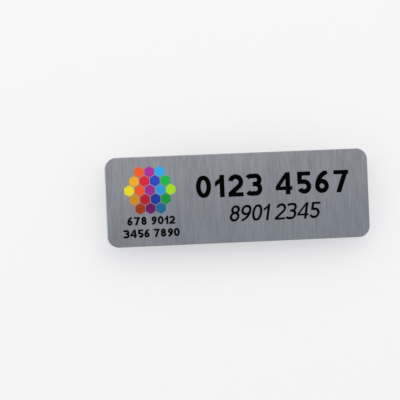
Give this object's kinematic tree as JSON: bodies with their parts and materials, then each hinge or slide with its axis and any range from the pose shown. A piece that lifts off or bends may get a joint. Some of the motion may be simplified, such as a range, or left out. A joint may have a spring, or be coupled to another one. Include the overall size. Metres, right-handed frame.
{
  "type": "name badge",
  "caption": "Flat oblong name badge with round corners: a brushed metal face plate with raised print, carried on a plain fastening bar whose broad flat back lies level.",
  "frame": {"origin": "middle of the underside, on the fastening bar's flat back face, under the middle of the face plate", "axes": "+X along the lines of print, to the reader's right; +Y up the face as it is read; +Z out of the printed face, which is up as the badge lies"},
  "size_m": [0.0762, 0.0254, 0.0067],
  "materials": {
    "brushed_aluminium": "brushed across the badge's height, with satin cut edges",
    "moulded_plastic": "finely textured black moulding",
    "black_ink": "cured print ink, slightly raised",
    "colour_ink": "cured print ink in a run of bright hues, slightly raised"
  },
  "bodies": {
    "root": {"face_plate": "brushed_aluminium", "fastening_bar": "moulded_plastic"}
  },
  "joints": []
}
